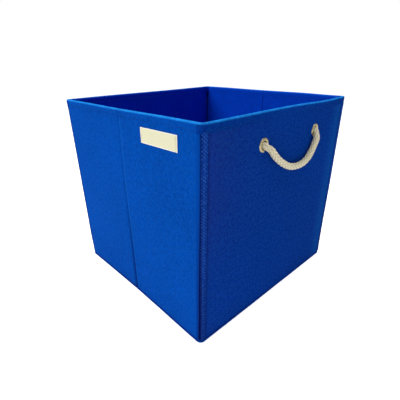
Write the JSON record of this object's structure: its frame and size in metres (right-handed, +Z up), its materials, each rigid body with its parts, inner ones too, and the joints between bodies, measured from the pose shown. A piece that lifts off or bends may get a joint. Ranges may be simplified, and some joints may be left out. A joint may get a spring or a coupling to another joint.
{
  "type": "fabric storage bin",
  "caption": "Open-topped square fabric storage bin with stiffened walls that fold flat, a rope handle through eyelets and a loose base insert.",
  "frame": {"origin": "floor level, in the middle of the outline of the walls", "axes": "+Z up; -Y faces the creased front wall with the label; +X faces the plain wall with the rope handle"},
  "size_m": [0.3162, 0.3158, 0.29],
  "materials": {
    "outer_fabric": "matte",
    "lining_fabric": "matte",
    "stiffener_board": "matte",
    "rope_cotton": "matte",
    "eyelet_metal": "satin",
    "label_cloth": "matte"
  },
  "bodies": {
    "right_side": {"right_wall_outer_fabric": "outer_fabric", "right_wall_board": "stiffener_board", "right_wall_lining": "lining_fabric", "right_wall_rim_hem": "outer_fabric", "right_wall_front_seam": "outer_fabric", "right_wall_back_seam": "outer_fabric", "bottom_cover": "outer_fabric", "front_eyelet": "eyelet_metal", "back_eyelet": "eyelet_metal", "front_washer": "eyelet_metal", "back_washer": "eyelet_metal", "front_knot": "rope_cotton", "back_knot": "rope_cotton"},
    "front_right": {"front_right_panel_outer_fabric": "outer_fabric", "front_right_panel_board": "stiffener_board", "front_right_panel_lining": "lining_fabric", "front_right_panel_rim_hem": "outer_fabric", "blank_label": "label_cloth"},
    "front_left": {"front_left_panel_outer_fabric": "outer_fabric", "front_left_panel_board": "stiffener_board", "front_left_panel_lining": "lining_fabric", "front_left_panel_rim_hem": "outer_fabric"},
    "left_side": {"left_wall_outer_fabric": "outer_fabric", "left_wall_board": "stiffener_board", "left_wall_lining": "lining_fabric", "left_wall_rim_hem": "outer_fabric", "left_wall_front_seam": "outer_fabric", "left_wall_back_seam": "outer_fabric"},
    "back_right": {"back_right_panel_outer_fabric": "outer_fabric", "back_right_panel_board": "stiffener_board", "back_right_panel_lining": "lining_fabric", "back_right_panel_rim_hem": "outer_fabric"},
    "back_left": {"back_left_panel_outer_fabric": "outer_fabric", "back_left_panel_board": "stiffener_board", "back_left_panel_lining": "lining_fabric", "back_left_panel_rim_hem": "outer_fabric"},
    "rope_handle": {"handle_rope": "rope_cotton"},
    "base_insert": {"insert_sleeve": "lining_fabric", "insert_board": "stiffener_board", "insert_pull_tab": "lining_fabric"}
  },
  "joints": [
    {"name": "front_right_corner", "type": "hinge", "parent": "right_side", "child": "front_right", "pos_m": [0.1485, -0.1535, 0], "axis": [0, 0, -1], "range_deg": [0, 77], "deforming": ["bottom_cover"]},
    {"name": "front_crease", "type": "hinge", "parent": "front_right", "child": "front_left", "pos_m": [0, -0.1575, 0], "axis": [0, 0, 1], "range_deg": [0, 154]},
    {"name": "front_left_corner", "type": "hinge", "parent": "front_left", "child": "left_side", "pos_m": [-0.1485, -0.1535, 0], "axis": [0, 0, -1], "range_deg": [0, 77]},
    {"name": "back_right_corner", "type": "hinge", "parent": "right_side", "child": "back_right", "pos_m": [0.1485, 0.1535, 0], "axis": [0, 0, 1], "range_deg": [0, 77]},
    {"name": "back_crease", "type": "hinge", "parent": "back_right", "child": "back_left", "pos_m": [0, 0.1575, 0], "axis": [0, 0, -1], "range_deg": [0, 154]},
    {"name": "handle_swing", "type": "hinge", "parent": "right_side", "child": "rope_handle", "pos_m": [0.1589, 0, 0.251], "axis": [0, -1, 0], "range_deg": [0, 150]},
    {"name": "insert_flip", "type": "hinge", "parent": "right_side", "child": "base_insert", "pos_m": [-0.1465, 0, 0.0043], "axis": [0, -1, 0], "range_deg": [0, 80]}
  ],
  "couplings": [
    {"joint": "front_crease", "follows": "front_right_corner", "ratio": 2},
    {"joint": "front_left_corner", "follows": "front_right_corner", "ratio": 1},
    {"joint": "back_right_corner", "follows": "front_right_corner", "ratio": 1},
    {"joint": "back_crease", "follows": "front_right_corner", "ratio": 2}
  ]
}
